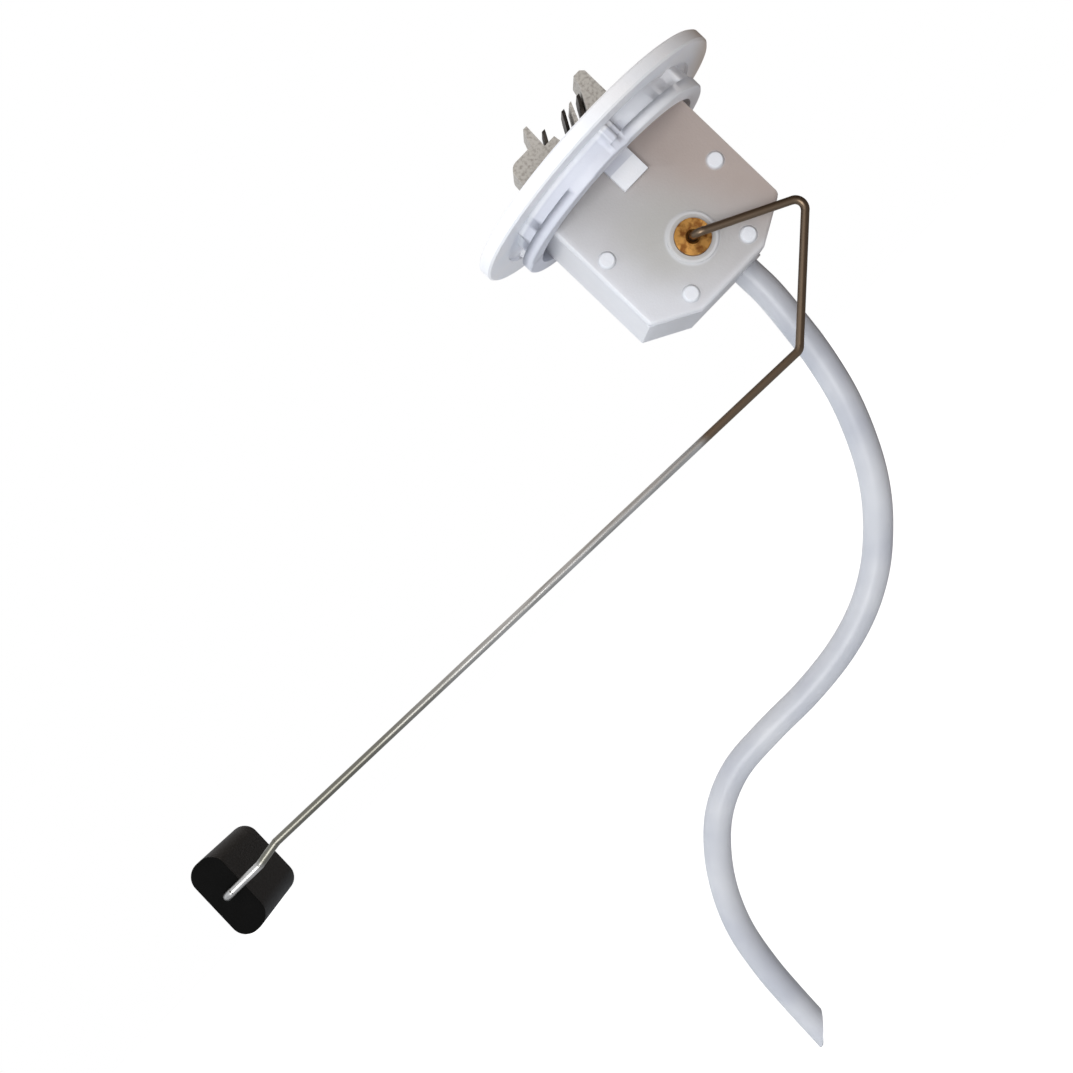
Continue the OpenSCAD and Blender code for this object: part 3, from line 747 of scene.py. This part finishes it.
def finish_piece(piece: bpy.types.Object, name: str, body: Body,
                 material: bpy.types.Material, replaces: Sequence[str]) -> bpy.types.Object:
    """Names, dresses and hands a new piece to its body.

    Args:
        piece: The finished object.
        name: The piece's name.
        body: The body that it moves with.
        material: Its material.
        replaces: The CAD nodes that it stands for.

    Returns:
        The piece.
    """
    piece.name = name
    piece.data.name = name
    dress(piece, material)
    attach(piece, body.value)
    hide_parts(*replaces)
    log.info("%s rides on %s", name, body.value)
    return piece


Corners = tuple[Place, Place]
FAR = 1000.0
EVERYWHERE: Corners = ((-FAR, -FAR, -FAR), (FAR, FAR, FAR))


@dataclass(frozen=True)
class Rounding:
    """One pass of edge rounding.

    Attributes:
        width: The rounding's width in millimetres.
        zones: Boxes in millimetres. Each end of a rounded edge lies in one of them.
        segments: How many faces the rounding has.
        least: The smallest angle between an edge's two faces, in degrees.
    """

    width: float
    zones: tuple[Corners, ...] = (EVERYWHERE,)
    segments: int = 2
    least: float = 32.0

    def holds(self, point: Vector) -> bool:
        """Returns whether a point lies in one of the zones."""
        place = point / MM
        return any(all(low[i] <= place[i] <= high[i] for i in range(3)) for low, high in self.zones)

    def apply(self, piece: bpy.types.Object) -> int:
        """Rounds the chosen edges of a piece.

        Args:
            piece: The mesh object.

        Returns:
            How many edges were rounded.
        """
        pick(piece)
        bpy.ops.object.mode_set(mode="EDIT")
        bpy.ops.mesh.select_mode(type="EDGE")
        bpy.ops.mesh.select_all(action="DESELECT")
        bpy.ops.object.mode_set(mode="OBJECT")
        chosen = self._chosen(piece.data)
        for edge in piece.data.edges:
            edge.select = edge.key in chosen
        bpy.ops.object.mode_set(mode="EDIT")
        if chosen:
            bpy.ops.mesh.bevel(offset=self.width * MM, segments=self.segments, affect="EDGES",
                               clamp_overlap=True)
        bpy.ops.object.mode_set(mode="OBJECT")
        return len(chosen)

    def _chosen(self, mesh: bpy.types.Mesh) -> set[tuple[int, int]]:
        """Returns the keys of the outward edges that are sharp enough and lie in a zone."""
        sides: dict[tuple[int, int], list[bpy.types.MeshPolygon]] = {}
        for face in mesh.polygons:
            for key in face.edge_keys:
                sides.setdefault(key, []).append(face)
        inside = [self.holds(vertex.co) for vertex in mesh.vertices]
        chosen = set()
        for key, faces in sides.items():
            if len(faces) != 2 or not (inside[key[0]] and inside[key[1]]):
                continue
            first, second = faces
            bend = math.degrees(first.normal.angle(second.normal, 0.0))
            if bend >= self.least and (second.center - first.center).dot(first.normal) < 0:
                chosen.add(key)
        return chosen


@dataclass(frozen=True)
class Moulding:
    """A CAD node's copy whose edges are rounded as a moulded or stamped piece's are.

    Attributes:
        node: The CAD node.
        body: The body that it moves with.
        slot: Its material slot.
        roundings: The passes of edge rounding.
        crease: The angle above which an edge stays sharp, in degrees.
        merge: Vertices that lie closer together than this become one.
        flat: Faces that meet at less than this become one, in degrees.
    """

    node: str
    body: Body
    slot: Slot
    roundings: tuple[Rounding, ...] = ()
    crease: float = 40.0
    merge: float = 0.002 * MM
    flat: float = 0.5

    def build(self, material: bpy.types.Material) -> bpy.types.Object:
        """Copies the node, rounds its edges and puts it in the node's place.

        Args:
            material: The piece's finish.

        Returns:
            The piece.
        """
        name = self.node + "_shaped"
        piece = bpy.data.objects.new(name, frame["nodes"][self.node].data.copy())
        bpy.context.scene.collection.objects.link(piece)
        pick(piece)
        bpy.ops.object.mode_set(mode="EDIT")
        bpy.ops.mesh.select_all(action="SELECT")
        bpy.ops.mesh.remove_doubles(threshold=self.merge)
        bpy.ops.mesh.dissolve_limited(angle_limit=math.radians(self.flat))
        bpy.ops.object.mode_set(mode="OBJECT")
        counts = [rounding.apply(piece) for rounding in self.roundings]
        smooth(piece, self.crease)
        even = piece.modifiers.new("even_shading", "WEIGHTED_NORMAL")
        even.keep_sharp = True
        apply_modifiers(piece)
        log.info("%s: %s edges rounded", self.node, counts)
        return finish_piece(piece, name, self.body, material, [self.node])


def arc_through(points: Sequence[Vector], steps: int) -> list[Vector]:
    """Returns points along a smooth curve through the given ones.

    Args:
        points: The points that the curve passes.
        steps: How many stretches each span is cut into.
    """
    ends = [2 * points[0] - points[1], *points, 2 * points[-1] - points[-2]]
    path = []
    for before, start, end, after in zip(ends, ends[1:], ends[2:], ends[3:]):
        for step in range(steps):
            t = step / steps
            path.append(0.5 * (2 * start + (end - before) * t
                               + (2 * before - 5 * start + 4 * end - after) * t ** 2
                               + (3 * start - before - 3 * end + after) * t ** 3))
    return [*path, points[-1]]


def tube(points: Sequence[Vector], radius: float, name: str, resolution: int = 6) -> bpy.types.Object:
    """Makes an open tube mesh along a path.

    Args:
        points: The path.
        radius: The tube's outer radius.
        name: The object's name.
        resolution: A quarter of the tube's sides, less two.

    Returns:
        The mesh object.
    """
    curve = bpy.data.curves.new(name, "CURVE")
    curve.dimensions = "3D"
    curve.bevel_depth = radius
    curve.bevel_resolution = resolution
    spline = curve.splines.new("POLY")
    spline.points.add(len(points) - 1)
    for knot, point in zip(spline.points, points):
        knot.co = (*point, 1.0)
    piece = bpy.data.objects.new(name, curve)
    bpy.context.scene.collection.objects.link(piece)
    pick(piece)
    bpy.ops.object.convert(target="MESH")
    return bpy.context.object


@dataclass
class Studio:
    """The pale floor, the soft light and the camera of the photograph.

    The floor and the surroundings look plain white, and the light that they throw on the part is
    bright and cool from the left and the front, and dim and warm from the right.

    Attributes:
        camera_place: Where the camera stands.
        pitch: How far the camera looks up, in degrees.
        roll: How far the camera is rolled clockwise, in degrees.
        focal_pixels: The focal length in pixels of the photograph.
        frame_pixels: The photograph's side in pixels.
        sensor: The sensor's width in millimetres.
        floor_left: The light off the floor's left side.
        floor_right: The light off the floor's right side.
        floor_span: Where the one begins to turn into the other and has turned, along X.
        front_light: The strength of the light from the front.
        left_light: What the left side adds to it.
        left_span: How far left a direction points where that begins and is full.
        right_share: The share of the light that is left on the right side.
        right_span: How far right a direction points where it begins to go and has gone.
        tint_span: How far left a direction points where warm begins to turn cool and is cool.
        key_aim: The point that the key light faces.
        key_size: The side of its square.
        key_power: Its power in watts.
    """

    camera_place: Place = (-0.07921, -0.34998, -0.05846)
    pitch: float = 0.64
    roll: float = 46.04
    focal_pixels: float = 1372.0
    frame_pixels: float = 1073.0
    sensor: float = 36.0
    clip_start: float = 0.01
    floor_z: float = -0.30
    floor_size: float = 12.0
    floor_colour: Colour = (0.25, 0.25, 0.25, 1.0)
    floor_rough: float = 0.9
    floor_left: Colour = (0.38, 0.40, 0.43, 1.0)
    floor_right: Colour = (0.06, 0.04, 0.03, 1.0)
    floor_span: Span = (-0.1, 0.4)
    front_light: float = 1.15
    left_light: float = -0.25
    left_span: Span = (-0.1, 0.9)
    right_share: float = 0.10
    right_span: Span = (-0.25, 0.6)
    warm: Colour = (1.0, 0.80, 0.64, 1.0)
    cool: Colour = (0.93, 0.96, 1.0, 1.0)
    tint_span: Span = (-0.8, 0.5)
    key_place: Place = (-0.42, -0.80, -0.10)
    key_aim: Place = (-0.06, 0.0, -0.08)
    key_size: float = 0.5
    key_power: float = 4.4

    def build(self) -> None:
        """Makes the camera, the floor and the lights."""
        self._camera()
        self._floor()
        self._surroundings()
        self._key_light()
        bpy.context.scene.view_settings.view_transform = "Standard"
        log.info("studio ready")

    def _camera(self) -> None:
        """Makes the camera at the photograph's viewing angle."""
        data = bpy.data.cameras.new("camera")
        data.sensor_width = self.sensor
        data.lens = self.sensor * self.focal_pixels / self.frame_pixels
        data.clip_start = self.clip_start
        camera = bpy.data.objects.new("camera", data)
        turn = Matrix.Rotation(math.radians(90 + self.pitch), 4, "X")
        roll = Matrix.Rotation(math.radians(-self.roll), 4, "Z")
        camera.matrix_world = Matrix.Translation(self.camera_place) @ turn @ roll
        bpy.context.scene.collection.objects.link(camera)
        bpy.context.scene.camera = camera

    def _floor(self) -> None:
        """Makes the plain pale floor."""
        clear_selection()
        bpy.ops.mesh.primitive_plane_add(size=self.floor_size, location=(0, 0, self.floor_z))
        floor = bpy.context.object
        floor.name = "floor"
        settle(floor)
        graph = Coat("pale_floor")
        glow = graph.blend(self.floor_left, self.floor_right, graph.axis(Axis.X).band(*self.floor_span))
        dress(floor, graph.shade({
            "Base Color": self.floor_colour,
            "Roughness": self.floor_rough,
            "Emission Color": graph.blend(glow, WHITE, self._seen(graph)),
            "Emission Strength": 1.0,
        }))

    def _surroundings(self) -> None:
        """Makes the surroundings, which light the part from every side but look plain white."""
        world = bpy.data.worlds.new("surroundings")
        world.use_nodes = True
        graph = Graph(world.node_tree, "Generated")
        right = graph.axis(Axis.X)
        left = right * -1.0
        light = self.front_light + self.left_light * left.band(*self.left_span)
        light = light * (1.0 - (1.0 - self.right_share) * right.band(*self.right_span))
        seen = self._seen(graph)
        tint = graph.blend(self.warm, self.cool, left.band(*self.tint_span))
        values = {"Color": graph.blend(tint, WHITE, seen), "Strength": light + (1.0 - light) * seen}
        sky = graph.add("ShaderNodeBackground", None, values)
        graph.add("ShaderNodeOutputWorld", None, {"Surface": sky.outputs[0]})
        bpy.context.scene.world = world

    @staticmethod
    def _seen(graph: Graph) -> Signal:
        """Returns 1 where the camera looks straight at a surface, and 0 where light reaches it."""
        return Signal(graph, graph.add("ShaderNodeLightPath").outputs["Is Camera Ray"])

    def _key_light(self) -> None:
        """Makes the one soft square light, in front of the part on the left."""
        data = bpy.data.lights.new("key_light", "AREA")
        data.size = self.key_size
        data.energy = self.key_power
        light = bpy.data.objects.new("key_light", data)
        light.location = self.key_place
        aim = Vector(self.key_aim) - Vector(self.key_place)
        light.rotation_euler = aim.to_track_quat("-Z", "Y").to_euler()
        bpy.context.scene.collection.objects.link(light)


@dataclass
class PickupHose:
    """The curved hose from the body's socket to its oblique open end.

    Attributes:
        exit: Where the hose leaves the body; not used.
        cut_normal: The direction that the cut end faces.
        spare: The length beyond the route's end that the cut takes off.
        steps: How many stretches each span of the route is cut into.
        crease: The angle above which an edge stays sharp, in degrees.
        route: The hose's middle line in millimetres.
    """

    diameter: float = 8 * MM
    wall: float = 1 * MM
    exit: Place = (8.5 * MM, 7.5 * MM, -45.6 * MM)
    cut_normal: Place = (0.69, 0.0, -0.72)
    spare: float = 9 * MM
    steps: int = 6
    crease: float = 50.0
    route: tuple[Place, ...] = (
        (8.5, 7.5, -34), (8.5, 7.5, -46), (8.5, 7.5, -54), (7.5, 8, -64), (6, 9, -75),
        (3, 11, -88), (-2, 14, -101), (-7.5, 17, -111), (-14, 21, -119.5), (-22, 24.5, -127),
        (-32, 28, -133), (-44, 31.5, -137), (-58, 35, -139), (-73, 38.5, -139.5), (-87, 42, -141),
        (-98.5, 45, -146), (-107.5, 48, -154), (-115, 51, -164.5), (-120.5, 54, -177),
        (-123.5, 57, -191), (-125, 60, -204), (-126, 62, -217),
    )

    def build(self, material: bpy.types.Material) -> bpy.types.Object:
        """Args:
            material: The hose's finish.

        Returns:
            The hose.
        """
        path = arc_through([Vector(point) * MM for point in self.route], self.steps)
        beyond = path[-1] + (path[-1] - path[-2]).normalized() * self.spare
        piece = tube([*path, beyond], self.diameter / 2, "pickup_hose_tube")
        self._cut(piece, path[-1])
        self._hollow(piece)
        finish_piece(piece, "pickup_hose_tube", Body.BODY, material, ["pickup_hose"])
        length = sum((b - a).length for a, b in zip(path, path[1:]))
        return piece

    def _cut(self, piece: bpy.types.Object, place: Vector) -> None:
        """Cuts the tube's end off along the oblique plane through a place."""
        near = 3 * self.diameter
        pick(piece)
        bpy.ops.object.mode_set(mode="EDIT")
        bpy.ops.mesh.select_mode(type="VERT")
        bpy.ops.mesh.select_all(action="DESELECT")
        bpy.ops.object.mode_set(mode="OBJECT")
        for vertex in piece.data.vertices:
            vertex.select = (vertex.co - place).length < near
        bpy.ops.object.mode_set(mode="EDIT")
        bpy.ops.mesh.bisect(plane_co=place, plane_no=self.cut_normal, clear_outer=True)
        bpy.ops.object.mode_set(mode="OBJECT")

    def _hollow(self, piece: bpy.types.Object) -> None:
        """Gives the tube its wall, inwards from its outer face."""
        wall = piece.modifiers.new("wall", "SOLIDIFY")
        wall.thickness = self.wall
        wall.offset = -1.0
        wall.use_rim = True
        apply_modifiers(piece)
        smooth(piece, self.crease)


FINISHES: dict[Slot, Finish] = {
    Slot.WHITE_NYLON: MouldedNylon(),
    Slot.MILKY_NYLON: MilkyNylon(),
    Slot.TERMINAL_PLASTIC: SpeckledMoulding(),
    Slot.TERMINAL_METAL: WornMetal(
        "terminal_metal", low=(0.020, 0.018, 0.016, 1.0), high=(0.09, 0.08, 0.07, 1.0), rough=0.42,
        stretch=(300.0, 300.0, 2600.0)),
    Slot.BUSH_BRASS: TurnedBrass(),
    Slot.SPRING_METAL: WornMetal(
        "spring_metal", low=(0.42, 0.41, 0.39, 1.0), high=(0.62, 0.60, 0.56, 1.0), rough=0.24,
        stretch=(2400.0, 300.0, 300.0)),
    Slot.CARD_BOARD: PlainCoat("card_board", low=(0.66, 0.65, 0.60, 1.0), high=(0.78, 0.77, 0.72, 1.0)),
    Slot.TRACK_FILM: PlainCoat(
        "track_film", low=(0.010, 0.010, 0.012, 1.0), high=(0.030, 0.030, 0.034, 1.0), rough=0.35),
    Slot.TRACK_SILVER: WornMetal(
        "track_silver", low=(0.50, 0.49, 0.46, 1.0), high=(0.66, 0.65, 0.62, 1.0), rough=0.38),
    Slot.SEAL_RUBBER: PlainCoat(
        "seal_rubber", low=(0.010, 0.010, 0.010, 1.0), high=(0.028, 0.028, 0.028, 1.0), rough=0.5),
    Slot.HOSE_NYLON: ExtrudedHose(),
    Slot.ARM_WIRE: DrawnWire(),
    Slot.FLOAT_FOAM: ClosedFoam(),
}


def box_of(node: str) -> Corners:
    """Returns the low and the high corner of a CAD node's box, in millimetres."""
    corners = frame["nodes"][node].bound_box
    return tuple(value / MM for value in corners[0]), tuple(value / MM for value in corners[6])


# The body's long outer edges at its two sides and its bottom, in millimetres
NEAR = 0.2
BEYOND_FACES = 15.0
FOOT_TOP = -45.0
FOOT_HALF = 11.0
(LEFT, _, BOTTOM), (RIGHT, _, _) = box_of("housing")
SHELL: tuple[Corners, ...] = (
    ((LEFT - NEAR, -BEYOND_FACES, FOOT_TOP), (LEFT + NEAR, BEYOND_FACES, 0.0)),
    ((RIGHT - NEAR, -BEYOND_FACES, FOOT_TOP), (RIGHT + NEAR, BEYOND_FACES, 0.0)),
    ((-FOOT_HALF, -BEYOND_FACES, BOTTOM - NEAR), (FOOT_HALF, BEYOND_FACES, BOTTOM + NEAR)),
)

# The stake heads, which stand in front of the cover
HEADS_FRONT = -16.0
HEADS_BACK = -13.9
STAKE_HEADS: tuple[Corners, ...] = (((LEFT, HEADS_FRONT, BOTTOM), (RIGHT, HEADS_BACK, 0.0)),)

# The flange's rim, clear of the terminal block's collar and the fuel elbow, in millimetres
BEYOND = 41.0
RIM_FRONT = 33.5
COLLAR_LEFT = -19.9
COLLAR_RIGHT = 14.5
PLATE_LOW = -0.1
PLATE_HIGH = 4.0
RIM: tuple[Corners, ...] = (
    ((-BEYOND, -BEYOND, PLATE_LOW), (COLLAR_LEFT, BEYOND, PLATE_HIGH)),
    ((COLLAR_RIGHT, -BEYOND, PLATE_LOW), (BEYOND, BEYOND, PLATE_HIGH)),
    ((COLLAR_LEFT, -BEYOND, PLATE_LOW), (COLLAR_RIGHT, -RIM_FRONT, PLATE_HIGH)),
    ((COLLAR_LEFT, RIM_FRONT, PLATE_LOW), (COLLAR_RIGHT, BEYOND, PLATE_HIGH)),
)


@dataclass(frozen=True)
class ShapedPieces:
    """The pieces that show, each with its edges rounded where the real one's are."""

    mouldings: tuple[Moulding, ...] = (
        Moulding("flange", Body.BODY, Slot.WHITE_NYLON, (Rounding(0.5, RIM, 3),)),
        Moulding("housing", Body.BODY, Slot.MILKY_NYLON,
                 (Rounding(1.0, SHELL, 3), Rounding(0.3, STAKE_HEADS))),
        Moulding("front_cover", Body.BODY, Slot.MILKY_NYLON, (Rounding(1.0, SHELL, 3),)),
        Moulding("terminal_block", Body.BODY, Slot.TERMINAL_PLASTIC, (Rounding(0.35),)),
        Moulding("warning_terminal", Body.BODY, Slot.TERMINAL_METAL, (Rounding(0.2),)),
        Moulding("signal_terminal", Body.BODY, Slot.TERMINAL_METAL, (Rounding(0.2),)),
        Moulding("ground_terminal", Body.BODY, Slot.TERMINAL_METAL, (Rounding(0.2),)),
        Moulding("bush", Body.BODY, Slot.BUSH_BRASS, (Rounding(0.5, segments=3),)),
        Moulding("float_arm", Body.ARM, Slot.ARM_WIRE, crease=50.0),
        Moulding("float", Body.FLOAT, Slot.FLOAT_FOAM, (Rounding(0.7, segments=3),)),
    )

    def build(self, finishes: dict[Slot, bpy.types.Material]) -> None:
        """Makes every shaped piece with its slot's finish."""
        for moulding in self.mouldings:
            moulding.build(finishes[moulding.slot])


def dress_nodes(finishes: dict[Slot, bpy.types.Material]) -> None:
    """Gives every CAD node the finish of its material slot."""
    for part in frame["record"]["subparts"]:
        dress(frame["nodes"][part["node"]], finishes[Slot(part["material_slot"])])
        log.info("%s dressed", part["node"])


def main() -> None:
    """Builds the studio and every sub-assembly in order."""
    logging.basicConfig(level=logging.INFO)
    Studio().build()
    finishes = {slot: finish.build() for slot, finish in FINISHES.items()}
    PickupHose().build(finishes[Slot.HOSE_NYLON])
    dress_nodes(finishes)
    ShapedPieces().build(finishes)


if __name__ == "__main__":
    main()
